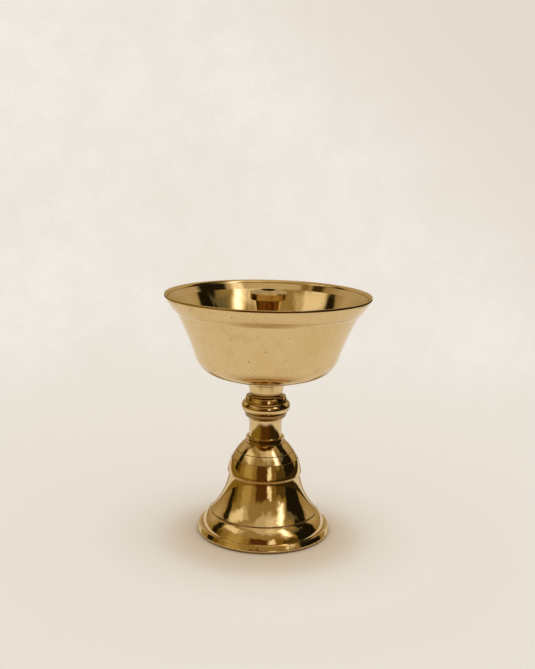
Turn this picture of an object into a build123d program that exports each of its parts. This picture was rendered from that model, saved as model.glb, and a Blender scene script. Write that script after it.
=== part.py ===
from build123d import *
import os

# Brass butter lamp on a hollow bell foot, in millimetres.
# +Z is up the axis of the lamp, and the origin is where that axis meets the table.
# Every turned piece is a half section in the XZ plane, revolved about the axis.

# Bell foot
foot_rim_radius = 28.7        # outer edge of the ring that stands on the table
foot_ring_width = 2.6         # width of that ring
foot_band_swell = 0.8         # how far the band above it stands out past the ring
foot_band_swell_height = 0.9
foot_band_round = 1.2
foot_band_lean = 1.2          # how far the band leans in again, up to its ledge
foot_band_height = 3.3
foot_ledge = 2.1              # step from the band in to the bulge
bulge_height = 5.9
bulge_swell = 0.52
groove_width = 0.45
groove_depth = 0.3            # how far the groove cuts in behind the flare's lower end
groove_lip = 0.35             # how far the bulge's top edge stands out past the flare
flare_radius = 23.25          # lower end of the flare
flare_height = 16.05
flare_hollow = 1.38           # how far the flare's curve dips below its chord
waist_radius = 15.4           # top of the flare, under the edge of the dome
dome_edge_height = 1.05
dome_edge_radius = 16.1
dome_low_height = 6.5
dome_low_lean = 1.7
dome_low_swell = 0.18
dome_line_depth = 0.12        # fine turned line between the two parts of the dome
dome_high_height = 7.05
dome_high_swell = 0.33
dome_top_radius = 9.1
foot_wall = 2.2
foot_roof_thickness = 2.8
foot_roof_radius = 9.0        # flat seat under the roof, for the washer

# Stem
collar_radius = 8.4
collar_lean = 0.15            # how much narrower the collar is at its top
collar_height = 2.35
collar_dish = 0.35            # how far the collar's top falls in to the neck
lower_neck_radius = 7.15
lower_neck_height = 8.55
lower_neck_hollow = 0.25
knop_ring_radius = 9.1        # top of the rounded ring under the torus
knop_ring_height = 3.5
knop_ring_swell = 0.75
knop_step = 0.75              # how far the torus stands out past that ring
knop_facet_height = 0.15      # ledge under the torus
knop_torus_height = 4.0
knop_torus_lean = 0.35        # how much narrower the torus is at its top
knop_torus_swell = 0.85
upper_ring_ledge = 0.45       # step from the torus in to the ring above it
upper_ring_height = 2.2
upper_ring_lean = 0.5
upper_ring_swell = 0.1
knop_cove_height = 1.05       # hollow curve from the ring's sharp edge in to the neck
knop_cove_hollow = 0.25
upper_neck_radius = 6.95
upper_neck_height = 4.55
stem_top_radius = 7.75

# Bowl
rim_radius = 44.0
rim_band_height = 0.4         # upright edge round the outside of the rim
rim_round_height = 0.15
rim_round_width = 0.35
rim_round_swell = 0.05
rim_inner_drop = 1.35         # rounded inside edge of the rim
rim_inner_width = 1.2
rim_inner_swell = 0.2
lip_height = 5.0              # from the step out to the rim's edge
lip_flare = 2.95
lip_swell = 0.12
lip_step = 0.15               # fine step under the lip
lip_cone_height = 2.25        # cone from the wall out to that step
lip_cone_flare = 2.05
lip_inner_drop = 2.45         # depth of the cone inside the lip
lip_inner_width = 2.15
bowl_wall = 1.5
bowl_wall_height = 24.6
bowl_wall_hollow = 0.68
bowl_inner_hollow = 1.1
bowl_corner_radius = 29.1     # where the lines of the wall and the underside would meet
bowl_corner_round = 12.5
bowl_rise = 6.4               # from the seat on the stem up to that corner
bowl_base_swell = 0.2
bowl_floor_thickness = 2.3
bowl_pad_radius = 9.2         # flat pad on the floor, for the washer

# Wick holder
seal_radius = 7.2
seal_thickness = 1.0
holder_flange_radius = 7.0
holder_flange_height = 2.5
holder_foot_radius = 6.0
holder_shank_height = 30.1
holder_shank_hollow = 1.2
holder_neck_radius = 5.75     # shank under the head
holder_head_radius = 8.0
holder_head_height = 2.85
holder_head_taper = 0.85      # cone under the head, down to the shank
holder_head_bevel = 0.3
holder_head_rise = 0.85       # cone on the head, up to the mouth of the bore
wick_bore_radius = 3.2
wick_bore_depth = 20.0

# Rod, nut and washer
rod_radius = 3.0
rod_engagement = 6.0          # length of thread in the wick holder
rod_bevel = 0.5
rod_end = 2.0                 # rod left showing below the nut
socket_spare = 1.0            # room past the rod's end in the wick holder
thread_clearance = 0.05
hole_clearance = 0.3
foot_washer_radius = 7.0
foot_washer_thickness = 1.2
nut_across_flats = 10.0
nut_thickness = 5.0
nut_bevel = 0.55
nut_face_radius = 4.8         # round face left at each end of the nut

# Heights, from the table up
ledge_z = foot_band_height
groove_z = ledge_z + bulge_height
flare_z = groove_z + groove_width
waist_z = flare_z + flare_height
dome_edge_z = waist_z + dome_edge_height
dome_line_z = dome_edge_z + dome_low_height
foot_top_z = dome_line_z + dome_high_height
foot_roof_z = foot_top_z - foot_roof_thickness
collar_z = foot_top_z + collar_height
lower_neck_z = collar_z - collar_dish
knop_z = lower_neck_z + lower_neck_height
facet_z = knop_z + knop_ring_height
torus_z = facet_z + knop_facet_height
upper_ring_z = torus_z + knop_torus_height
cove_z = upper_ring_z + upper_ring_height
upper_neck_z = cove_z + knop_cove_height
seat_z = upper_neck_z + upper_neck_height
corner_z = seat_z + bowl_rise
wall_top_z = corner_z + bowl_wall_height
lip_z = wall_top_z + lip_cone_height
rim_band_z = lip_z + lip_height
rim_round_z = rim_band_z + rim_band_height
rim_z = rim_round_z + rim_round_height
floor_z = seat_z + bowl_floor_thickness
holder_z = floor_z + seal_thickness
shank_z = holder_z + holder_flange_height
head_z = shank_z + holder_shank_height
head_edge_z = head_z + holder_head_taper
head_top_z = head_edge_z + holder_head_height
bore_mouth_z = head_top_z + holder_head_rise
rod_top_z = holder_z + rod_engagement
washer_z = foot_roof_z - foot_washer_thickness
nut_z = washer_z - nut_thickness
nut_low_z = nut_z + nut_bevel
nut_high_z = washer_z - nut_bevel
rod_bottom_z = nut_z - rod_end

# Radii that follow from the sizes above
rod_hole_radius = rod_radius + hole_clearance
thread_hole_radius = rod_radius + thread_clearance
ledge_radius = foot_rim_radius + foot_band_swell - foot_band_lean
bulge_radius = ledge_radius - foot_ledge
groove_radius = flare_radius + groove_lip
dome_line_radius = dome_edge_radius - dome_low_lean
lip_foot_radius = rim_radius - lip_flare
lip_cone_radius = lip_foot_radius - lip_step
wall_top_radius = lip_cone_radius - lip_cone_flare
rim_top_radius = rim_radius - rim_round_width
rim_inner_radius = rim_top_radius - rim_inner_width
crease_radius = rim_inner_radius - lip_inner_width
collar_top_radius = collar_radius - collar_lean
knop_shoulder_radius = knop_ring_radius + knop_step
torus_top_radius = knop_shoulder_radius - knop_torus_lean
upper_ring_radius = torus_top_radius - upper_ring_ledge
cove_radius = upper_ring_radius - upper_ring_lean
nut_corner_radius = nut_across_flats / 3 ** 0.5 + thread_clearance


def inset(before, corner, after, wall):
    """The corner moved in by the wall, to the left of the path that runs through it."""
    arriving = (Vector(*corner) - Vector(*before)).normalized()
    leaving = (Vector(*after) - Vector(*corner)).normalized()
    left_a = Vector(-arriving.Y, arriving.X)
    left_b = Vector(-leaving.Y, leaving.X)
    moved = Vector(*corner) + (left_a + left_b) * (wall / (1 + left_a.dot(left_b)))
    return (moved.X, moved.Y)


os.makedirs("parts", exist_ok=True)


# Foot: band, bulge, flare and dome outside, one smooth hollow inside
band_swell_point = (foot_rim_radius + foot_band_swell, foot_band_swell_height)
band_top_point = (ledge_radius, ledge_z)
bulge_top_point = (groove_radius, groove_z)
flare_point = (flare_radius, flare_z)
waist_point = (waist_radius, waist_z)
dome_edge_point = (dome_edge_radius, dome_edge_z)
dome_low_point = (dome_line_radius, dome_line_z)
dome_line_point = (dome_line_radius - dome_line_depth, dome_line_z)
dome_top_point = (dome_top_radius, foot_top_z)
roof_point = (foot_roof_radius, foot_roof_z)
inner_dome_point = (dome_edge_radius - foot_wall, dome_edge_z)
inner_waist_point = (waist_radius - foot_wall, waist_z)
inner_flare_point = (flare_radius - foot_wall, flare_z)
with BuildPart() as foot:
    with BuildSketch(Plane.XZ):
        with BuildLine():
            FilletPolyline((foot_rim_radius, 0), band_swell_point, band_top_point, radius=foot_band_round)
            Line(band_top_point, (bulge_radius, ledge_z))
            SagittaArc((bulge_radius, ledge_z), bulge_top_point, -bulge_swell)
            Polyline(
                bulge_top_point,
                (flare_radius - groove_depth, groove_z),
                (flare_radius - groove_depth, flare_z),
                flare_point,
            )
            SagittaArc(flare_point, waist_point, flare_hollow)
            Line(waist_point, dome_edge_point)
            SagittaArc(dome_edge_point, dome_low_point, -dome_low_swell)
            Line(dome_low_point, dome_line_point)
            SagittaArc(dome_line_point, dome_top_point, -dome_high_swell)
            Polyline(
                dome_top_point,
                (rod_hole_radius, foot_top_z),
                (rod_hole_radius, foot_roof_z),
                roof_point,
            )
            SagittaArc(roof_point, inner_dome_point, dome_high_swell)
            Line(inner_dome_point, inner_waist_point)
            SagittaArc(inner_waist_point, inner_flare_point, -flare_hollow)
            Polyline(inner_flare_point, (foot_rim_radius - foot_ring_width, 0), (foot_rim_radius, 0))
        make_face()
    revolve(axis=Axis.Z)
foot.part.label = "foot"
export_step(foot.part, "parts/foot.step")


# Stem: collar, lower neck, knop and upper neck, bored for the rod
neck_foot_point = (lower_neck_radius, lower_neck_z)
knop_foot_point = (lower_neck_radius, knop_z)
facet_point = (knop_ring_radius, facet_z)
torus_foot_point = (knop_shoulder_radius, torus_z)
torus_top_point = (torus_top_radius, upper_ring_z)
upper_ring_point = (upper_ring_radius, upper_ring_z)
cove_point = (cove_radius, cove_z)
upper_neck_point = (upper_neck_radius, upper_neck_z)
seat_point = (stem_top_radius, seat_z)
with BuildPart() as stem:
    with BuildSketch(Plane.XZ):
        with BuildLine():
            Polyline(
                (rod_hole_radius, foot_top_z),
                (collar_radius, foot_top_z),
                (collar_top_radius, collar_z),
                neck_foot_point,
            )
            SagittaArc(neck_foot_point, knop_foot_point, lower_neck_hollow)
            SagittaArc(knop_foot_point, facet_point, -knop_ring_swell)
            Line(facet_point, torus_foot_point)
            SagittaArc(torus_foot_point, torus_top_point, -knop_torus_swell)
            Line(torus_top_point, upper_ring_point)
            SagittaArc(upper_ring_point, cove_point, -upper_ring_swell)
            SagittaArc(cove_point, upper_neck_point, knop_cove_hollow)
            Polyline(upper_neck_point, seat_point, (rod_hole_radius, seat_z), (rod_hole_radius, foot_top_z))
        make_face()
    revolve(axis=Axis.Z)
stem.part.label = "stem"
export_step(stem.part, "parts/stem.step")


# Bowl: conical underside, rounded corner, hollow-curved wall, flared lip and rounded rim
corner_point = (bowl_corner_radius, corner_z)
wall_top_point = (wall_top_radius, wall_top_z)
lip_cone_point = (lip_cone_radius, lip_z)
lip_point = (lip_foot_radius, lip_z)
rim_band_point = (rim_radius, rim_band_z)
rim_round_point = (rim_radius, rim_round_z)
rim_top_point = (rim_top_radius, rim_z)
rim_inner_point = (rim_inner_radius, rim_z - rim_inner_drop)
crease_point = (crease_radius, rim_z - rim_inner_drop - lip_inner_drop)
inner_corner_point = inset(seat_point, corner_point, wall_top_point, bowl_wall)
with BuildPart() as bowl:
    with BuildSketch(Plane.XZ) as bowl_section:
        with BuildLine():
            Line((rod_hole_radius, seat_z), seat_point)
            SagittaArc(seat_point, corner_point, -bowl_base_swell)
            SagittaArc(corner_point, wall_top_point, bowl_wall_hollow)
            Polyline(wall_top_point, lip_cone_point, lip_point)
            SagittaArc(lip_point, rim_band_point, -lip_swell)
            Line(rim_band_point, rim_round_point)
            SagittaArc(rim_round_point, rim_top_point, -rim_round_swell)
            SagittaArc(rim_top_point, rim_inner_point, -rim_inner_swell)
            Line(rim_inner_point, crease_point)
            SagittaArc(crease_point, inner_corner_point, -bowl_inner_hollow)
            Polyline(
                inner_corner_point,
                (bowl_pad_radius, floor_z),
                (rod_hole_radius, floor_z),
                (rod_hole_radius, seat_z),
            )
        make_face()
        fillet(bowl_section.vertices().sort_by_distance(corner_point)[0], bowl_corner_round)
        fillet(bowl_section.vertices().sort_by_distance(inner_corner_point)[0], bowl_corner_round - bowl_wall)
    revolve(axis=Axis.Z)
bowl.part.label = "bowl"
export_step(bowl.part, "parts/bowl.step")


# Sealing washer, between the bowl's floor and the wick holder
with BuildPart() as sealing_washer:
    with BuildSketch(Plane.XY.offset(floor_z)):
        Circle(seal_radius)
        Circle(rod_hole_radius, mode=Mode.SUBTRACT)
    extrude(amount=seal_thickness)
sealing_washer.part.label = "sealing_washer"
export_step(sealing_washer.part, "parts/sealing_washer.step")


# Wick holder: flange, waisted shank and low conical head, the wick's bore above and the rod's socket below
socket_top_z = rod_top_z + socket_spare
bore_floor_z = bore_mouth_z - wick_bore_depth
with BuildPart() as wick_holder:
    with BuildSketch(Plane.XZ):
        with BuildLine():
            Polyline(
                (0, socket_top_z),
                (thread_hole_radius, socket_top_z),
                (thread_hole_radius, holder_z),
                (holder_flange_radius, holder_z),
                (holder_flange_radius, shank_z),
                (holder_foot_radius, shank_z),
            )
            SagittaArc((holder_foot_radius, shank_z), (holder_neck_radius, head_z), holder_shank_hollow)
            Polyline(
                (holder_neck_radius, head_z),
                (holder_head_radius, head_edge_z),
                (holder_head_radius, head_top_z - holder_head_bevel),
                (holder_head_radius - holder_head_bevel, head_top_z),
                (wick_bore_radius, bore_mouth_z),
                (wick_bore_radius, bore_floor_z),
                (0, bore_floor_z),
                (0, socket_top_z),
            )
        make_face()
    revolve(axis=Axis.Z)
wick_holder.part.label = "wick_holder"
export_step(wick_holder.part, "parts/wick_holder.step")


# Tie rod, on the axis from the nut up into the wick holder
with BuildPart() as tie_rod:
    with BuildSketch(Plane.XY.offset(rod_bottom_z)):
        Circle(rod_radius)
    extrude(amount=rod_top_z - rod_bottom_z)
    chamfer(tie_rod.edges().filter_by(GeomType.CIRCLE), rod_bevel)
tie_rod.part.label = "tie_rod"
export_step(tie_rod.part, "parts/tie_rod.step")


# Washer under the foot's roof
with BuildPart() as foot_washer:
    with BuildSketch(Plane.XY.offset(washer_z)):
        Circle(foot_washer_radius)
        Circle(rod_hole_radius, mode=Mode.SUBTRACT)
    extrude(amount=foot_washer_thickness)
foot_washer.part.label = "foot_washer"
export_step(foot_washer.part, "parts/foot_washer.step")


# Hexagon nut, its corners turned off by a cone at each end
with BuildPart() as foot_nut:
    with BuildSketch(Plane.XY.offset(nut_z)):
        RegularPolygon(nut_across_flats / 2, 6, major_radius=False)
    extrude(amount=nut_thickness)
    with BuildSketch(Plane.XZ):
        with BuildLine():
            Polyline(
                (0, nut_z),
                (nut_face_radius, nut_z),
                (nut_corner_radius, nut_low_z),
                (nut_corner_radius, nut_high_z),
                (nut_face_radius, washer_z),
                (0, washer_z),
                close=True,
            )
        make_face()
    revolve(axis=Axis.Z, mode=Mode.INTERSECT)
    with BuildSketch(Plane.XY.offset(nut_z)):
        Circle(thread_hole_radius)
    extrude(amount=nut_thickness, mode=Mode.SUBTRACT)
foot_nut.part.label = "foot_nut"
export_step(foot_nut.part, "parts/foot_nut.step")
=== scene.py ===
import math

import bmesh
import bpy
from mathutils import Matrix, Vector


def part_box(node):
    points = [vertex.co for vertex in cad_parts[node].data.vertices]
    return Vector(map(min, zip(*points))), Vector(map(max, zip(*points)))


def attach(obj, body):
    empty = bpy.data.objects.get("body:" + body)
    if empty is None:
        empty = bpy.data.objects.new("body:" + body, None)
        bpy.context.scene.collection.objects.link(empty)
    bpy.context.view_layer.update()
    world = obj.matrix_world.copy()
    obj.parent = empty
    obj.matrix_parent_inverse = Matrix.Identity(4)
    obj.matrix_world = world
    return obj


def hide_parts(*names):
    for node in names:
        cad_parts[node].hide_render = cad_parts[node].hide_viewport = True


# A polished brass butter lamp on a pale table, seen from in front and a little above.
# The turned pieces are half sections of (radius, height) points in millimetres, spun about +Z.
# A section runs up the outside and down the inside, so the metal is on its left.

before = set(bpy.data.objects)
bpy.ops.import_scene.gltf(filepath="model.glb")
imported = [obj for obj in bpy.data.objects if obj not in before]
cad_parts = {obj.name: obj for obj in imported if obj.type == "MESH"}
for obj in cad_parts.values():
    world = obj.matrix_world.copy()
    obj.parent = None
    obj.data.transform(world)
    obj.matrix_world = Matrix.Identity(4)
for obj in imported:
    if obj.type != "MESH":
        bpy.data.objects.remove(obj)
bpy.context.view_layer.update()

MM = 0.001
TURN_STEPS = 192
THREAD_STEPS = 48
SMOOTH_BELOW = math.radians(7)   # corners that turn less than this are left alone
CORNER_SHARE = 0.4               # most of an edge that a rounded corner takes
GUARD_SHARE = 0.5                # points beside a rounded corner, as a share of its setback
GUARD_LIMIT = 0.08               # and at most this share of the edge
SCRIBE_CLEAR = 0.6               # points nearer than this many widths give way to a scribed groove
MERGE_WITHIN = 0.0005            # points of a turned piece nearer than this, in millimetres, are one


def foot_of(node):
    """Height of a node's lowest point, in millimetres."""
    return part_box(node)[0].z / MM


def top_of(node):
    """Height of a node's highest point, in millimetres."""
    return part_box(node)[1].z / MM


def reach_of(node):
    """Largest radius of a node, in millimetres."""
    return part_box(node)[1].x / MM


# Section lines


def arc(start, end, rise, steps=12):
    """Points after start, up to end, on the arc that stands off its chord by rise, left if positive."""
    start, end = Vector(start), Vector(end)
    along = (end - start).normalized()
    left = Vector((-along.y, along.x))
    half = (end - start).length / 2
    half_angle = 2 * math.atan(abs(rise) / half)
    radius = half / math.sin(half_angle)
    side = math.copysign(1, rise)
    points = []
    for step in range(1, steps + 1):
        angle = half_angle * (2 * step / steps - 1)
        forward = half + radius * math.sin(angle)
        sideways = side * radius * (math.cos(angle) - math.cos(half_angle))
        points.append(tuple(start + along * forward + left * sideways))
    return points


def eased(before, corner, after, radius, steps=6):
    """Points that round a corner between two straight runs."""
    before, corner, after = Vector(before), Vector(corner), Vector(after)
    back = (before - corner).normalized()
    onward = (after - corner).normalized()
    half_angle = back.angle(onward) / 2
    setback = radius / math.tan(half_angle)
    centre = corner + (back + onward).normalized() * (radius / math.sin(half_angle))
    first = corner + back * setback - centre
    last = corner + onward * setback - centre
    sweep = first.angle_signed(last)
    return [tuple(centre + Matrix.Rotation(-sweep * s / steps, 2) @ first) for s in range(steps + 1)]


def softened(points, radius, closed=True, steps=5):
    """The same section with its corners rounded. A third number in a point is that corner's own radius."""
    flat = [Vector(point[:2]) for point in points]
    count = len(flat)
    result = []
    for index, here in enumerate(flat):
        if not closed and index in (0, count - 1):
            result.append(tuple(here))
            continue
        before, after = flat[index - 1], flat[(index + 1) % count]
        arriving, leaving = here - before, after - here
        turn = arriving.angle(leaving)
        if turn < SMOOTH_BELOW:
            result.append(tuple(here))
            continue
        own = points[index][2] if len(points[index]) > 2 else radius
        room = min(arriving.length, leaving.length)
        setback = min(own * math.tan(turn / 2), CORNER_SHARE * room)
        guard = min(GUARD_SHARE * setback, GUARD_LIMIT * room)
        result.append(tuple(here - arriving.normalized() * (setback + guard)))
        result += eased(before, here, after, setback / math.tan(turn / 2), steps)
        result.append(tuple(here + leaving.normalized() * (setback + guard)))
    return result


def arc_circle(start, end, rise):
    """Centre and radius of the arc, and 1 if the centre is to the left of it or -1 if to the right."""
    start, end = Vector(start), Vector(end)
    along = (end - start).normalized()
    left = Vector((-along.y, along.x))
    half = (end - start).length / 2
    radius = (half * half + rise * rise) / (2 * abs(rise))
    side = -math.copysign(1, rise)
    return (start + end) / 2 + left * (rise + side * radius), radius, side


def joined_arcs(start, corner, end, first_rise, second_rise, radius, steps):
    """All points of two arcs that meet in a corner turning left, with that corner rounded."""
    a, a_radius, a_side = arc_circle(start, corner, first_rise)
    b, b_radius, b_side = arc_circle(corner, end, second_rise)
    reach_a = a_radius - a_side * radius
    reach_b = b_radius - b_side * radius
    gap = b - a
    along = (reach_a**2 - reach_b**2 + gap.length_squared) / (2 * gap.length)
    across = math.sqrt(reach_a**2 - along**2)
    direction = gap.normalized()
    normal = Vector((-direction.y, direction.x))
    choices = [a + direction * along + normal * across * way for way in (1, -1)]
    centre = min(choices, key=lambda point: (point - Vector(corner)).length)
    leave = centre + (centre - a).normalized() * radius * a_side
    arrive = centre + (centre - b).normalized() * radius * b_side

    def part(centre_point, from_point, to_point, count):
        spoke = Vector(from_point) - centre_point
        sweep = spoke.angle_signed(Vector(to_point) - centre_point)
        turned = [Matrix.Rotation(-sweep * s / count, 2) @ spoke for s in range(1, count + 1)]
        return [tuple(centre_point + spoke_point) for spoke_point in turned]

    points = [tuple(start)] + part(a, start, leave, steps)
    points += part(centre, leave, arrive, steps) + part(b, arrive, end, steps)
    return points


def scribed(points, height, width, depth):
    """The same line with a fine groove cut into its left side at that height."""
    for index, (low, high) in enumerate(zip(points, points[1:])):
        if min(low[1], high[1]) <= height < max(low[1], high[1]):
            break
    low, high = Vector(low), Vector(high)
    middle = low.lerp(high, (height - low.y) / (high.y - low.y))
    along = (high - low).normalized()
    left = Vector((-along.y, along.x))
    groove = [
        middle - along * width / 2,
        middle - along * width / 6 + left * depth,
        middle + along * width / 6 + left * depth,
        middle + along * width / 2,
    ]
    clear = width * SCRIBE_CLEAR
    before = [p for p in points[: index + 1] if (Vector(p) - middle).length > clear]
    after = [p for p in points[index + 1 :] if (Vector(p) - middle).length > clear]
    return before + [tuple(p) for p in groove] + after


# Mesh makers


def cleaned(mesh):
    """The same bmesh with doubles merged, faces pointing outwards and smooth shading."""
    bmesh.ops.remove_doubles(mesh, verts=mesh.verts, dist=MERGE_WITHIN * MM)
    bmesh.ops.recalc_face_normals(mesh, faces=mesh.faces)
    for face in mesh.faces:
        face.smooth = True
    return mesh


def spun(section, closed=True):
    """A bmesh of the section turned all the way round the axis."""
    mesh = bmesh.new()
    verts = [mesh.verts.new((radius * MM, 0, height * MM)) for radius, height in section]
    edges = [mesh.edges.new(pair) for pair in zip(verts, verts[1:])]
    if closed:
        edges.append(mesh.edges.new((verts[-1], verts[0])))
    bmesh.ops.spin(
        mesh,
        geom=verts + edges,
        axis=(0, 0, 1),
        cent=(0, 0, 0),
        angle=math.tau,
        steps=TURN_STEPS,
        use_merge=True,
    )
    return cleaned(mesh)


def cut_off(mesh, point, direction):
    """Cuts away what lies past the plane, and closes the cut."""
    cut = bmesh.ops.bisect_plane(
        mesh,
        geom=mesh.verts[:] + mesh.edges[:] + mesh.faces[:],
        plane_co=point,
        plane_no=direction,
        clear_outer=True,
    )
    rim = [item for item in cut["geom_cut"] if isinstance(item, bmesh.types.BMEdge)]
    bmesh.ops.holes_fill(mesh, edges=rim)


def placed(mesh, name, finishes, body, node):
    """Makes the piece, sets its materials and what it rides on, and hides the node that it stands in for.
    """
    data = bpy.data.meshes.new(name)
    mesh.to_mesh(data)
    mesh.free()
    for finish in finishes:
        data.materials.append(finish)
    piece = bpy.data.objects.new(name, data)
    bpy.context.scene.collection.objects.link(piece)
    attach(piece, body)
    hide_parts(node)
    return piece


# Node helpers


def add(tree, kind, sockets=None, **settings):
    """A new node with its settings, and each socket set to a value or linked to an output."""
    node = tree.nodes.new("ShaderNode" + kind)
    for key, value in settings.items():
        setattr(node, key, value)
    for key, value in (sockets or {}).items():
        if isinstance(value, bpy.types.NodeSocket):
            tree.links.new(value, node.inputs[key])
        else:
            node.inputs[key].default_value = value
    return node


def sums(tree, operation, first, second=0.0):
    return add(tree, "Math", {0: first, 1: second}, operation=operation).outputs[0]


def ramp(tree, value, low, high, start=0.0, end=1.0):
    """From start at low to end at high, eased at both ends."""
    sockets = {"Value": value, "From Min": low, "From Max": high, "To Min": start, "To Max": end}
    return add(tree, "MapRange", sockets, interpolation_type="SMOOTHSTEP").outputs[0]


def mixed(tree, share, first, second):
    node = add(tree, "Mix", {0: share}, data_type="RGBA")
    for index, value in ((6, first), (7, second)):
        if isinstance(value, bpy.types.NodeSocket):
            tree.links.new(value, node.inputs[index])
        else:
            node.inputs[index].default_value = (*value, 1)
    return node.outputs[2]


def noise(tree, place, scale, detail=2.0):
    return add(tree, "TexNoise", {"Vector": place, "Scale": scale, "Detail": detail}).outputs[0]


def bumped(tree, height, distance, normal=None):
    """A normal raised by that height, with the depth of the relief in millimetres."""
    sockets = {"Height": height, "Distance": distance * MM, "Strength": 1.0}
    if normal is not None:
        sockets["Normal"] = normal
    return add(tree, "Bump", sockets).outputs[0]


def new_finish(name):
    """A material with only a Principled shader, its node tree, that shader, and the place on the piece."""
    finish = bpy.data.materials.new(name)
    finish.use_nodes = True
    tree = finish.node_tree
    tree.nodes.clear()
    shader = add(tree, "BsdfPrincipled")
    tree.links.new(shader.outputs[0], add(tree, "OutputMaterial").inputs["Surface"])
    place = add(tree, "TexCoord").outputs["Object"]
    return finish, tree, shader, place


def half_section(tree, place):
    """The place as (radius, height, 0), which is the same all the way round the axis."""
    parts = add(tree, "SeparateXYZ", {0: place})
    across = add(tree, "CombineXYZ", {0: parts.outputs[0], 1: parts.outputs[1]})
    radius = add(tree, "VectorMath", {0: across.outputs[0]}, operation="LENGTH").outputs["Value"]
    return add(tree, "CombineXYZ", {0: radius, 1: parts.outputs[2]}).outputs[0]


def specks(tree, place, scale, share, size):
    """1 in small round spots, one in some of the cells of a grid of that scale."""
    cells = add(tree, "TexVoronoi", {"Vector": place, "Scale": scale})
    chosen = add(tree, "SeparateColor", {0: cells.outputs["Color"]}).outputs[0]
    chosen = ramp(tree, chosen, 1 - share, 1 - share + 0.02)
    return sums(tree, "MULTIPLY", chosen, ramp(tree, cells.outputs["Distance"], size / 2, size, 1.0, 0.0))


def near_rings(tree, turned, lines):
    """1 near rings of a turned piece, given as (radius, height, width) in millimetres: grooves that hold
    dirt and painted shade, or rings of painted shade.
    """
    total = None
    for radius, height, width in lines:
        groove = (radius * MM, height * MM, 0)
        far = add(tree, "VectorMath", {0: turned, 1: groove}, operation="DISTANCE").outputs["Value"]
        near = ramp(tree, far, 0.25 * width * MM, width * MM, 1.0, 0.0)
        total = near if total is None else sums(tree, "MAXIMUM", total, near)
    return total


# Finishes

BRASS = (0.76, 0.575, 0.30)
BRASS_WARM = (0.73, 0.53, 0.25)
BRASS_STAIN = (0.60, 0.41, 0.17)
BRASS_PIT = (0.10, 0.055, 0.02)
LIP_FOOT = 99.5   # height above which the brass is more mottled
SATIN = (0.72, 0.53, 0.22)
SATIN_PAINTED_STREAK = (0.56, 0.37, 0.12)
CAST = (0.42, 0.28, 0.11)
CAST_DARK = (0.20, 0.12, 0.05)
STEEL = (0.62, 0.62, 0.60)
STEEL_DARK = (0.46, 0.45, 0.43)
LEATHER = (0.11, 0.055, 0.026)
LEATHER_DARK = (0.045, 0.022, 0.012)
# The grooves are darker with dirt and with painted shade
GRIME_AND_SHADE = (0.16, 0.085, 0.025)
# Painted shade: dark brown rings that stand for dark reflections on the stem, and a contact shadow along
# the foot's bottom edge
PAINTED_SHADE_BROWN = (0.24, 0.13, 0.03)
PAINTED_SHADE_RINGS = [
    # radius, height and width of each ring of painted shade
    (29.05, 0.45, 0.9),
    (8.95, 52.6, 2.2),
    (8.3, 41.6, 0.9),
    (7.1, 62.0, 1.2),
    (7.9, 61.0, 0.9),
]
GROOVE_DIRT_AND_SHADE = [
    # radius, height and width of each line that holds dirt and painted shade
    (27.05, 3.35, 0.2),
    (23.1, 9.4, 0.36),
    (14.32, 33.22, 0.3),
    (12.27, 36.5, 0.26),
    (8.55, 40.35, 0.3),
    (7.3, 42.35, 0.4),
    (7.2, 50.85, 0.25),
    (9.25, 54.4, 0.25),
    (9.25, 58.55, 0.35),
    (7.05, 61.8, 0.3),
    (7.75, 66.3, 0.3),
    (40.95, 99.5, 0.16),
    (42.45, 103.72, 0.16),
]


def polished_brass():
    finish, tree, shader, place = new_finish("polished_brass")
    turned = half_section(tree, place)
    cloud = noise(tree, place, 55.0, 3.0)
    colour = mixed(tree, ramp(tree, cloud, 0.35, 0.7), BRASS, BRASS_WARM)
    stain = ramp(tree, noise(tree, place, 160.0, 5.0), 0.54, 0.72)
    colour = mixed(tree, sums(tree, "MULTIPLY", stain, 0.36), colour, BRASS_STAIN)
    up = add(tree, "SeparateXYZ", {0: place}).outputs[2]
    on_lip = ramp(tree, up, LIP_FOOT * MM, (LIP_FOOT + 0.4) * MM, 0.12, 0.34)
    grain = ramp(tree, noise(tree, place, 1500.0, 3.0), 0.42, 0.62)
    colour = mixed(tree, sums(tree, "MULTIPLY", grain, on_lip), colour, BRASS_STAIN)
    pits = sums(tree, "MULTIPLY", specks(tree, place, 300.0, 0.2, 0.12), 0.7)
    fine_pits = specks(tree, place, 700.0, 0.28, 0.22)
    pits = sums(tree, "MAXIMUM", pits, sums(tree, "MULTIPLY", fine_pits, 0.5))
    colour = mixed(tree, pits, colour, BRASS_PIT)
    # painted shade: dark brown rings on the stem's rings and necks and along the foot's bottom edge
    colour = mixed(tree, sums(tree, "MULTIPLY", near_rings(tree, turned, PAINTED_SHADE_RINGS), 0.85), colour, PAINTED_SHADE_BROWN)
    worn = ramp(tree, noise(tree, place, 95.0, 2.0), 0.36, 0.6, 0.35, 0.9)
    # dirt and painted shade in the grooves, patchy with noise
    dirt_and_shade = sums(tree, "MULTIPLY", near_rings(tree, turned, GROOVE_DIRT_AND_SHADE), worn)
    colour = mixed(tree, dirt_and_shade, colour, GRIME_AND_SHADE)
    tree.links.new(colour, shader.inputs["Base Color"])
    dull = sums(tree, "MAXIMUM", sums(tree, "MAXIMUM", sums(tree, "MULTIPLY", stain, 0.1), pits), dirt_and_shade)
    tree.links.new(ramp(tree, dull, 0.0, 1.0, 0.055, 0.42), shader.inputs["Roughness"])
    shader.inputs["Metallic"].default_value = 1.0
    normal = bumped(tree, noise(tree, place, 60.0, 1.0), 0.055)
    normal = bumped(tree, noise(tree, turned, 2600.0, 2.0), 0.0016, normal)
    tree.links.new(normal, shader.inputs["Normal"])
    return finish


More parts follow.
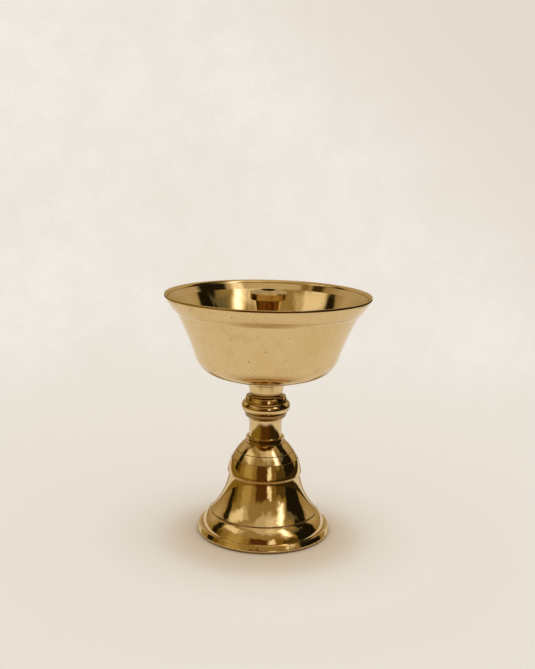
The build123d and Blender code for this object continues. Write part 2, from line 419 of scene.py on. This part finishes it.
def satin_brass():
    finish, tree, shader, place = new_finish("satin_brass")
    turned = half_section(tree, place)
    cloud = noise(tree, place, 190.0, 4.0)
    # painted reflection: vertical streaks of darker brass in the base colour
    upright = add(tree, "VectorMath", {0: place, 1: (1, 1, 0.03)}, operation="MULTIPLY").outputs[0]
    streak = noise(tree, upright, 420.0, 3.0)
    colour = mixed(tree, ramp(tree, streak, 0.38, 0.62), SATIN, SATIN_PAINTED_STREAK)
    soot = specks(tree, place, 420.0, 0.2, 0.12)
    colour = mixed(tree, sums(tree, "MULTIPLY", soot, 0.7), colour, BRASS_PIT)
    tree.links.new(colour, shader.inputs["Base Color"])
    tree.links.new(ramp(tree, cloud, 0.3, 0.75, 0.09, 0.16), shader.inputs["Roughness"])
    shader.inputs["Metallic"].default_value = 1.0
    rings = noise(tree, turned, 5200.0, 3.0)
    tree.links.new(bumped(tree, rings, 0.006), shader.inputs["Normal"])
    return finish


def cast_brass():
    finish, tree, shader, place = new_finish("cast_brass")
    cloud = noise(tree, place, 130.0, 6.0)
    colour = mixed(tree, ramp(tree, cloud, 0.35, 0.68), CAST, CAST_DARK)
    tree.links.new(colour, shader.inputs["Base Color"])
    tree.links.new(ramp(tree, cloud, 0.3, 0.7, 0.42, 0.62), shader.inputs["Roughness"])
    shader.inputs["Metallic"].default_value = 1.0
    normal = bumped(tree, noise(tree, place, 900.0, 4.0), 0.12)
    tree.links.new(normal, shader.inputs["Normal"])
    return finish


def plated_steel():
    finish, tree, shader, place = new_finish("plated_steel")
    cloud = noise(tree, place, 420.0, 4.0)
    colour = mixed(tree, ramp(tree, cloud, 0.35, 0.7), STEEL, STEEL_DARK)
    tree.links.new(colour, shader.inputs["Base Color"])
    tree.links.new(ramp(tree, cloud, 0.3, 0.7, 0.26, 0.40), shader.inputs["Roughness"])
    shader.inputs["Metallic"].default_value = 1.0
    tree.links.new(bumped(tree, noise(tree, place, 3000.0, 2.0), 0.004), shader.inputs["Normal"])
    return finish


def oiled_leather():
    finish, tree, shader, place = new_finish("oiled_leather")
    grain = noise(tree, place, 1900.0, 5.0)
    colour = mixed(tree, ramp(tree, grain, 0.35, 0.68), LEATHER, LEATHER_DARK)
    tree.links.new(colour, shader.inputs["Base Color"])
    tree.links.new(ramp(tree, grain, 0.3, 0.7, 0.36, 0.58), shader.inputs["Roughness"])
    tree.links.new(bumped(tree, grain, 0.06), shader.inputs["Normal"])
    return finish


BRASS_FINISH = polished_brass()
SATIN_FINISH = satin_brass()
CAST_FINISH = cast_brass()
STEEL_FINISH = plated_steel()
LEATHER_FINISH = oiled_leather()

# Levels that the frame gives
foot_top = top_of("foot")
seat = foot_of("bowl")
rim = top_of("bowl")
rim_radius = reach_of("bowl")
holder_foot = foot_of("wick_holder")
holder_top = top_of("wick_holder")
rod_foot = foot_of("tie_rod")
rod_top = top_of("tie_rod")
rod_hole = 3.3
thread_hole = 3.05

# Foot
ring_inner = (26.1, 0)
ring_outer = (28.7, 0)
band_swell = (29.5, 0.9)
band_round = 1.2
band_top = (28.3, 3.3)
bulge_foot = (27.0, 3.3)
bulge_top = (23.6, 9.2)
bulge_swell = 0.52
groove_floor = 22.95
flare_foot = (23.25, 9.65)
waist = (15.4, 25.7)
dome_edge = (16.1, 26.75)
dome_low = (14.42, 33.14)
dome_line = (14.28, 33.25)
dome_upper_line = 36.5
dome_line_width = 0.26
dome_line_depth = 0.1
dome_top = (9.1, foot_top)
roof_edge = (9.0, foot_top - 2.8)
inner_dome_edge = (13.9, 26.75)
inner_waist = (13.2, 25.7)
inner_flare_foot = (21.05, 9.65)
flare_hollow = 1.38
dome_low_swell = 0.18
dome_swell = 0.33
foot_edge = 0.1

dome_high = [dome_line] + arc(dome_line, dome_top, -dome_swell, 20)
foot_section = (
    [ring_inner, ring_outer]
    + eased(ring_outer, band_swell, band_top, band_round, 12)
    + [band_top, bulge_foot]
    + arc(bulge_foot, bulge_top, -bulge_swell, 12)
    + [(groove_floor, bulge_top[1]), (groove_floor, flare_foot[1]), flare_foot]
    + arc(flare_foot, waist, flare_hollow, 32)
    + [dome_edge]
    + arc(dome_edge, dome_low, -dome_low_swell, 12)
    + scribed(dome_high, dome_upper_line, dome_line_width, dome_line_depth)
    + [(rod_hole, foot_top), (rod_hole, roof_edge[1]), roof_edge]
    + arc(roof_edge, inner_dome_edge, dome_swell, 10)
    + [inner_waist]
    + arc(inner_waist, inner_flare_foot, -flare_hollow, 16)
)
foot_mesh = spun(softened(foot_section, foot_edge))
# The hollow underneath keeps its cast surface, and the turned ledge above the band is polished
for face in foot_mesh.faces:
    middle = face.calc_center_median()
    outward = Vector((middle.x, middle.y, 0)).normalized()
    under_roof = face.normal.z < -0.9 and middle.z > inner_waist[1] * MM
    if under_roof or face.normal.dot(outward) < -0.1 and middle.xy.length > rod_hole * 1.1 * MM:
        face.material_index = 1
for face in foot_mesh.faces:
    middle = face.calc_center_median()
    if face.material_index == 1 and middle.xy.length > inner_flare_foot[0] * MM:
        if middle.z > 0.6 * band_top[1] * MM and face.normal.z > 0:
            face.material_index = 0
placed(foot_mesh, "turned_foot", [BRASS_FINISH, CAST_FINISH], "base", "foot")

# Stem
collar_foot = 8.4
collar_top = (8.25, foot_top + 2.35, 0.05)
neck_foot = (7.15, foot_top + 2.0)
knop_foot = (7.15, foot_top + 10.55)
facet_foot = (9.1, foot_top + 14.05, 0.06)
torus_foot = (9.85, foot_top + 14.2, 0.05)
torus_top = (9.5, foot_top + 18.2)
upper_ring = (9.05, foot_top + 18.2)
cove_edge = (8.55, foot_top + 20.4, 0.05)
upper_neck = (6.95, foot_top + 21.45, 0.4)
stem_top = (7.75, seat)
neck_hollow = 0.25
knop_swell = 0.75
torus_swell = 0.85
ring_swell = 0.1
cove_hollow = 0.25
stem_edge = 0.12

stem_section = (
    [(rod_hole, foot_top), (collar_foot, foot_top), collar_top, neck_foot]
    + arc(neck_foot, knop_foot, neck_hollow, 16)
    + arc(knop_foot, facet_foot[:2], -knop_swell, 16)[:-1]
    + [facet_foot, torus_foot]
    + arc(torus_foot[:2], torus_top, -torus_swell, 18)
    + [upper_ring]
    + arc(upper_ring, cove_edge[:2], -ring_swell, 8)[:-1]
    + [cove_edge]
    + arc(cove_edge[:2], upper_neck[:2], cove_hollow, 10)[:-1]
    + [upper_neck, stem_top, (rod_hole, seat)]
)
stem_mesh = spun(softened(stem_section, stem_edge))
placed(stem_mesh, "turned_stem", [BRASS_FINISH], "base", "stem")

# Bowl
wall = 1.5
wall_hollow = 0.68
inner_hollow = 1.1
under_swell = 0.2
inner_under_swell = 0.001
corner_round = 12.5
corner = (29.1, seat + 6.4)
wall_top = (38.85, seat + 31.0, 3.0)
lip_line = (40.9, seat + 33.25)
lip_foot = (41.05, seat + 33.25)
rim_low = (rim_radius, rim - 0.9)
rim_high = (rim_radius, rim - 0.15)
rim_top = (rim_radius - 0.35, rim)
rim_inside = (rim_radius - 1.55, rim - 1.35)
lip_swell = 0.12
rim_swell = 0.05
rim_slope_swell = 0.2
lip_scribe = lip_line[1] - 0.8
lip_scribe_width = 0.16
lip_scribe_depth = 0.05
bowl_edge = 0.07
crease = (rim_radius - 3.7, rim - 3.8, 0.3)
floor = seat + 2.3
pad_edge = (9.2, floor)

arriving = (Vector(corner) - Vector(stem_top)).normalized()
leaving = (Vector(wall_top[:2]) - Vector(corner)).normalized()
left_a = Vector((-arriving.y, arriving.x))
left_b = Vector((-leaving.y, leaving.x))
inner_corner = tuple(Vector(corner) + (left_a + left_b) * (wall / (1 + left_a.dot(left_b))))
outer_wall = joined_arcs(stem_top, corner, wall_top[:2], -under_swell, wall_hollow, corner_round, 24)
inner_round = corner_round - wall
inner_ends = (pad_edge, inner_corner, crease[:2])
inner_wall = joined_arcs(*inner_ends, -inner_under_swell, inner_hollow, inner_round, 24)
bowl_section = (
    [(rod_hole, seat)]
    + outer_wall[:-1]
    + [wall_top]
    + scribed([wall_top[:2], lip_line], lip_scribe, lip_scribe_width, lip_scribe_depth)[1:]
    + [lip_foot]
    + arc(lip_foot, rim_low, -lip_swell, 14)
    + [rim_high]
    + arc(rim_high, rim_top, -rim_swell, 6)
    + arc(rim_top, rim_inside, -rim_slope_swell, 8)
    + [crease]
    + inner_wall[::-1][1:]
    + [(rod_hole, floor)]
)
bowl_mesh = spun(softened(bowl_section, bowl_edge))
placed(bowl_mesh, "turned_bowl", [BRASS_FINISH], "bowl", "bowl")

# Wick holder
flange_radius = 7.0
flange_top = holder_foot + 2.5
shank_foot = (6.0, flange_top, 0.3)
shank_top = (5.75, holder_top - 4.55)
head_under = (8.0, holder_top - 3.7)
head_side = (8.0, holder_top - 1.15)
head_edge = (7.7, holder_top - 0.85)
bore_radius = 3.2
bore_floor = holder_top - 20.0
shank_hollow = 1.2
holder_edge = 0.1
socket_top = rod_top + 1.0

holder_section = (
    [(0, socket_top), (thread_hole, socket_top), (thread_hole, holder_foot)]
    + [(flange_radius, holder_foot), (flange_radius, flange_top, 0.25), shank_foot]
    + arc(shank_foot[:2], shank_top, shank_hollow, 28)
    + [head_under, head_side, head_edge]
    + [(bore_radius, holder_top, 0.05), (bore_radius, bore_floor), (0, bore_floor)]
)
holder_mesh = spun(softened(holder_section, holder_edge, closed=False), closed=False)
placed(holder_mesh, "turned_wick_holder", [SATIN_FINISH], "wick_holder", "wick_holder")

# Sealing washer and foot washer


def washer(node, radius, edge):
    low, high = foot_of(node), top_of(node)
    section = [(rod_hole, low), (radius, low), (radius, high), (rod_hole, high)]
    return spun(softened(section, edge))


seal_mesh = washer("sealing_washer", reach_of("sealing_washer"), 0.3)
placed(seal_mesh, "leather_seal", [LEATHER_FINISH], "seal", "sealing_washer")
washer_mesh = washer("foot_washer", reach_of("foot_washer"), 0.2)
placed(washer_mesh, "flat_washer", [STEEL_FINISH], "base", "foot_washer")

# Hexagon nut: a turned blank with its six flats cut off
nut_foot = foot_of("foot_nut")
nut_top = top_of("foot_nut")
nut_flat = 5.0
nut_face = 4.8
nut_corner = 5.82
nut_bevel = 0.55
hole_bevel = 0.35
nut_section = [
    (thread_hole, nut_foot + hole_bevel),
    (thread_hole + hole_bevel, nut_foot),
    (nut_face, nut_foot),
    (nut_corner, nut_foot + nut_bevel),
    (nut_corner, nut_top - nut_bevel),
    (nut_face, nut_top),
    (thread_hole + hole_bevel, nut_top),
    (thread_hole, nut_top - hole_bevel),
]
nut_mesh = spun(softened(nut_section, 0.06))
for side in range(6):
    angle = math.radians(60 * side + 30)
    outward = Vector((math.cos(angle), math.sin(angle), 0))
    cut_off(nut_mesh, outward * nut_flat * MM, outward)
for face in nut_mesh.faces:
    face.smooth = len(face.verts) < 8
for edge in nut_mesh.edges:
    edge.smooth = all(face.smooth for face in edge.link_faces)
placed(nut_mesh, "hexagon_nut", [STEEL_FINISH], "base", "foot_nut")

# Threaded rod: one turn of the thread's section, screwed up by its pitch
pitch = 1.0
thread_crest = 2.98
thread_root = 2.42
thread_start = 0.8
thread_merge = 0.002
rod_end = 0.97 * thread_root
thread_profile = [(0.0, thread_root), (0.15, thread_root), (0.5, thread_crest), (0.65, thread_crest)]
rod_mesh = bmesh.new()
rod_points = []
turns = math.ceil((rod_top - rod_foot) / pitch) + 4
for turn in range(turns):
    for rise, radius in thread_profile:
        rod_points.append((radius * MM, 0, (rod_foot + (turn - 2 + rise) * pitch) * MM))
rod_verts = [rod_mesh.verts.new(point) for point in rod_points]
rod_edges = [rod_mesh.edges.new(pair) for pair in zip(rod_verts, rod_verts[1:])]
bmesh.ops.spin(
    rod_mesh,
    geom=rod_verts + rod_edges,
    axis=(0, 0, 1),
    cent=(0, 0, 0),
    dvec=(0, 0, pitch * MM / THREAD_STEPS),
    angle=math.tau,
    steps=THREAD_STEPS,
    use_merge=False,
)
bmesh.ops.remove_doubles(rod_mesh, verts=rod_mesh.verts, dist=thread_merge * MM)
cut_off(rod_mesh, (0, 0, rod_foot * MM), (0, 0, -1))
cut_off(rod_mesh, (0, 0, rod_top * MM), (0, 0, 1))
for vert in rod_mesh.verts:
    from_end = min(vert.co.z - rod_foot * MM, rod_top * MM - vert.co.z)
    allowed = rod_end * MM + from_end * (thread_crest - thread_root) / thread_start
    if 0 < allowed < vert.co.xy.length:
        vert.co.xy = vert.co.xy * (allowed / vert.co.xy.length)
bmesh.ops.recalc_face_normals(rod_mesh, faces=rod_mesh.faces)
for face in rod_mesh.faces:
    face.smooth = False
placed(rod_mesh, "threaded_rod", [STEEL_FINISH], "base", "tie_rod")

# Camera, where the photograph was taken from
CAMERA_PLACE = (0, -0.4005, 0.1655)
CAMERA_LENS = 51.38
CAMERA_DOWN = math.radians(11.03)
CAMERA_ROLL = math.radians(1.32)
camera_data = bpy.data.cameras.new("camera")
camera_data.lens = CAMERA_LENS
camera_data.sensor_width = 36
camera = bpy.data.objects.new("camera", camera_data)
bpy.context.scene.collection.objects.link(camera)
look = Matrix.Rotation(math.pi / 2 - CAMERA_DOWN, 4, "X") @ Matrix.Rotation(CAMERA_ROLL, 4, "Z")
camera.matrix_world = Matrix.Translation(CAMERA_PLACE) @ look
bpy.context.scene.camera = camera

# Surroundings that the brass mirrors: heading in degrees from straight towards the camera, positive to the
# right of the picture, and height in degrees above the table
ROOM_LOW = (0.30, 0.20, 0.05)
ROOM_MIDDLE = (0.36, 0.26, 0.11)
ROOM_HIGH = (0.60, 0.50, 0.36)
CEILING = (0.72, 0.63, 0.50)
BACK_LOW = (0.42, 0.31, 0.14)
BACK_HIGH = (0.56, 0.46, 0.31)
# Pale wedge above the camera, wider the higher it is
WEDGE = (0.64, 0.55, 0.40)
WEDGE_FOOT = 37.0
WEDGE_SLOPE = 0.75
WEDGE_SOFT = 6.0
HEADING_WANDER = 3.0
HEIGHT_WANDER = 5.0
ROOM_PANES = [
    # heading from, to, height from, to, colour, softness of the edge
    (-24, 9, -40, 25, (0.10, 0.04, 0.008), 3),
    (24, 35, -40, 22, (0.25, 0.14, 0.03), 2),
    (10, 22, 1, 20, (1.15, 1.08, 0.90), 2),
    (36, 66, -40, 15, (0.10, 0.06, 0.015), 3),
    (-66, -38, -40, 27, (0.50, 0.37, 0.13), 5),
    (-93, -82, -40, 22, (0.15, 0.09, 0.01), 3),
    (66, 112, -40, 38, (0.012, 0.010, 0.004), 3),
    (66, 97, 33, 44, (0.17, 0.15, 0.09), 3),
    (-107, -93, -40, 40, (0.02, 0.013, 0.003), 2),
    (-64, -44, 30, 51, (0.63, 0.53, 0.33), 4),
    (-92, -58, 32, 50, (1.0, 0.90, 0.72), 4),
    (88, 124, 36, 61, (0.015, 0.012, 0.006), 3),
    (-101, -89, 46, 62, (0.06, 0.04, 0.012), 3),
    (-87, -74, 56, 70, (0.28, 0.19, 0.06), 4),
    (62, 80, 58, 74, (1.3, 1.25, 1.1), 4),
    (10, 40, 46, 65, (0.92, 0.82, 0.66), 8),
    (40, 60, 26, 56, (1.5, 1.42, 1.25), 5),
    (45, 55, 28, 54, (2.4, 2.4, 2.6), 3),
]

# Studio: pale table and backdrop, daylight from all round and one broad soft light overhead
PALE = (0.855, 0.80, 0.72)
PALE_LEFT = (0.89, 0.845, 0.78)
PALE_RIGHT = (0.78, 0.70, 0.61)
DAYLIGHT = (0.80, 0.77, 0.725)
TABLE = (0.82, 0.78, 0.725)
# Painted shadow and light on the table: warmer and darker close round the foot, lighter a little further
# out
TABLE_PAINTED_LIGHT = (0.88, 0.825, 0.755)
TABLE_PAINTED_SHADOW = (0.80, 0.685, 0.54)
OFF_SHEET = (0.10, 0.04, 0.006)
OFF_SHEET_LEFT = (0.26, 0.17, 0.03)
OFF_SHEET_RIGHT = (0.04, 0.025, 0.006)
PAINTED_REFLECTION_BROWN = (0.34, 0.23, 0.08)
# Sizes on the table in metres: the sheet's edge shows only in the brass
table_half = 3.0
sheet_front = 0.13
sheet_spread = 0.62
sheet_edge = 0.012
sheet_radius = 0.169
sheet_back = 0.054
painted_shadow_ring = (0.03, 0.05)
painted_light_ring = (0.05, 0.10)
far_ring = (0.16, 0.45)
strip_start = (0.055, 0.085)
strip_end = (0.30, 0.36)
strip_side = (0.05, 0.085)
shadow_front = 0.008


def paper(tree, direction):
    """The pale mottled sheet, the same on table and backdrop, in that direction from the camera's place."""
    across = add(tree, "SeparateXYZ", {0: direction})
    blotch = ramp(tree, noise(tree, direction, 6.0, 3.0), 0.3, 0.7)
    colour = mixed(tree, blotch, PALE, PALE_LEFT)
    # painted shade: the sheet turns darker towards the right and the top
    corner = sums(tree, "ADD", across.outputs[0], across.outputs[2])
    colour = mixed(tree, ramp(tree, corner, 0.0, 0.34), colour, PALE_RIGHT)
    streak = ramp(tree, noise(tree, direction, 38.0, 5.0), 0.35, 0.65)
    colour = mixed(tree, sums(tree, "MULTIPLY", streak, 0.2), colour, PALE_RIGHT)
    grain = ramp(tree, noise(tree, direction, 320.0, 3.0), 0.35, 0.65)
    return mixed(tree, sums(tree, "MULTIPLY", grain, 0.16), colour, PALE_RIGHT)


world = bpy.data.worlds.new("studio")
world.use_nodes = True
tree = world.node_tree
tree.nodes.clear()
direction_vector = add(tree, "TexCoord").outputs["Generated"]
direction = add(tree, "SeparateXYZ", {0: direction_vector})
towards = sums(tree, "MULTIPLY", direction.outputs[1], -1.0)
wander = add(tree, "TexNoise", {"Vector": direction_vector, "Scale": 5.0, "Detail": 2.0}).outputs["Color"]
wander = add(tree, "SeparateColor", {0: wander})
heading = sums(tree, "DEGREES", sums(tree, "ARCTAN2", direction.outputs[0], towards))
drift = ramp(tree, wander.outputs[0], 0.2, 0.8, -HEADING_WANDER, HEADING_WANDER)
heading = sums(tree, "ADD", heading, drift)
height = sums(tree, "DEGREES", sums(tree, "ARCSINE", direction.outputs[2]))
drift = ramp(tree, wander.outputs[1], 0.2, 0.8, -HEIGHT_WANDER, HEIGHT_WANDER)
high_up = sums(tree, "ADD", height, drift)
away = ramp(tree, sums(tree, "ABSOLUTE", heading), 100.0, 130.0)
room = mixed(tree, ramp(tree, height, 10.0, 40.0), ROOM_LOW, ROOM_MIDDLE)
behind = mixed(tree, ramp(tree, height, 4.0, 24.0), BACK_LOW, BACK_HIGH)
room = mixed(tree, away, room, behind)
room = mixed(tree, ramp(tree, height, 52.0, 66.0), room, ROOM_HIGH)
room = mixed(tree, ramp(tree, height, 66.0, 84.0), room, CEILING)
wide = sums(tree, "MULTIPLY", sums(tree, "ABSOLUTE", heading), WEDGE_SLOPE)
in_wedge = ramp(tree, sums(tree, "SUBTRACT", high_up, wide), WEDGE_FOOT, WEDGE_FOOT + WEDGE_SOFT)
room = mixed(tree, in_wedge, room, WEDGE)
for left, right, low, high, colour, soft in ROOM_PANES:
    inside = sums(tree, "SUBTRACT", 1.0, ramp(tree, heading, right - soft, right + soft))
    inside = sums(tree, "MULTIPLY", inside, ramp(tree, heading, left - soft, left + soft))
    under = sums(tree, "SUBTRACT", 1.0, ramp(tree, high_up, high - soft, high + soft))
    under = sums(tree, "MULTIPLY", under, ramp(tree, high_up, low - soft, low + soft))
    room = mixed(tree, sums(tree, "MULTIPLY", inside, under), room, colour)
backdrop = paper(tree, direction_vector)
rays = add(tree, "LightPath")
shown = mixed(tree, rays.outputs["Is Camera Ray"], DAYLIGHT, backdrop)
shown = mixed(tree, rays.outputs["Is Glossy Ray"], shown, room)
background = add(tree, "Background", {"Color": shown, "Strength": 1.0})
tree.links.new(background.outputs[0], add(tree, "OutputWorld").inputs["Surface"])
bpy.context.scene.world = world
bpy.context.scene.view_settings.view_transform = "Standard"

table_mesh = bmesh.new()
bmesh.ops.create_grid(table_mesh, x_segments=1, y_segments=1, size=table_half)
table_data = bpy.data.meshes.new("table")
table_mesh.to_mesh(table_data)
table_mesh.free()
table = bpy.data.objects.new("table", table_data)
bpy.context.scene.collection.objects.link(table)
table_finish = bpy.data.materials.new("table_finish")
table_finish.use_nodes = True
tree = table_finish.node_tree
tree.nodes.clear()
place = add(tree, "TexCoord").outputs["Object"]
across = add(tree, "SeparateXYZ", {0: place}).outputs[0]
from_lamp = add(tree, "VectorMath", {0: place}, operation="LENGTH").outputs["Value"]
along = add(tree, "SeparateXYZ", {0: place}).outputs[1]
in_front = sums(tree, "MULTIPLY", along, -1.0)
spread = sums(tree, "SQRT", sums(tree, "ADD", sums(tree, "MULTIPLY", across, across), sheet_edge**2))
past_edge = sums(tree, "ADD", in_front, sums(tree, "MULTIPLY", spread, sheet_spread))
off_sheet = ramp(tree, past_edge, sheet_front - sheet_edge, sheet_front + sheet_edge)
sheet_middle = add(tree, "VectorMath", {0: place, 1: (0, sheet_back, 0)}, operation="SUBTRACT").outputs[0]
# Behind the sheet's middle only the distance sideways counts
nearer = add(tree, "VectorMath", {0: sheet_middle, 1: (table_half, 0, 0)}, operation="MINIMUM").outputs[0]
from_sheet = add(tree, "VectorMath", {0: nearer}, operation="LENGTH").outputs["Value"]
outside = ramp(tree, from_sheet, sheet_radius - sheet_edge, sheet_radius + sheet_edge)
off_sheet = sums(tree, "MAXIMUM", off_sheet, outside)
sideways = sums(tree, "DIVIDE", across, sums(tree, "MAXIMUM", from_lamp, 0.001))
unlit = mixed(tree, ramp(tree, sideways, -0.75, -0.35), OFF_SHEET_LEFT, OFF_SHEET)
unlit = mixed(tree, ramp(tree, sideways, 0.3, 0.7), unlit, OFF_SHEET_RIGHT)
rays = add(tree, "LightPath")
mirrored_off = sums(tree, "MULTIPLY", off_sheet, rays.outputs["Is Glossy Ray"])
from_shadow = add(tree, "VectorMath", {0: place, 1: (0, shadow_front, 0)}, operation="ADD").outputs[0]
from_shadow = add(tree, "VectorMath", {0: from_shadow}, operation="LENGTH").outputs["Value"]
# painted shadow close round the foot, then a painted lighter halo, fading to the plain table
ground = mixed(tree, ramp(tree, from_shadow, *painted_shadow_ring), TABLE_PAINTED_SHADOW, TABLE_PAINTED_LIGHT)
ground = mixed(tree, ramp(tree, from_shadow, *painted_light_ring), ground, TABLE)
lit = add(tree, "BsdfDiffuse", {"Color": ground})
from_camera = add(tree, "VectorMath", {0: place, 1: CAMERA_PLACE}, operation="SUBTRACT").outputs[0]
from_camera = add(tree, "VectorMath", {0: from_camera}, operation="NORMALIZE").outputs[0]
far = add(tree, "Emission", {"Color": paper(tree, from_camera)})
dark = add(tree, "Emission", {"Color": unlit})
seen = sums(tree, "MAXIMUM", rays.outputs["Is Camera Ray"], rays.outputs["Is Glossy Ray"])
fade = sums(tree, "MULTIPLY", ramp(tree, from_lamp, *far_ring), seen)
shade = add(tree, "MixShader", {0: fade, 1: lit.outputs[0], 2: far.outputs[0]})
shade = add(tree, "MixShader", {0: mirrored_off, 1: shade.outputs[0], 2: dark.outputs[0]})
# painted reflection: a brown strip on the table behind the lamp, seen only in the brass, darkens the foot's
# edges
past_start = ramp(tree, along, *strip_start)
before_end = ramp(tree, along, *strip_end, 1.0, 0.0)
close_behind = sums(tree, "MULTIPLY", past_start, before_end)
near_axis = ramp(tree, sums(tree, "ABSOLUTE", across), *strip_side, 1.0, 0.0)
close_behind = sums(tree, "MULTIPLY", close_behind, near_axis)
close_behind = sums(tree, "MULTIPLY", close_behind, rays.outputs["Is Glossy Ray"])
brown = add(tree, "Emission", {"Color": (*PAINTED_REFLECTION_BROWN, 1)})
shade = add(tree, "MixShader", {0: close_behind, 1: shade.outputs[0], 2: brown.outputs[0]})
tree.links.new(shade.outputs[0], add(tree, "OutputMaterial").inputs["Surface"])
table_data.materials.append(table_finish)

lamp_data = bpy.data.lights.new("overhead_softbox", "AREA")
lamp_data.shape = "DISK"
lamp_data.size = 0.6
lamp_data.energy = 2.4
lamp = bpy.data.objects.new("overhead_softbox", lamp_data)
lamp.location = (0.03, 0.03, 1.0)
lamp.visible_glossy = False
bpy.context.scene.collection.objects.link(lamp)
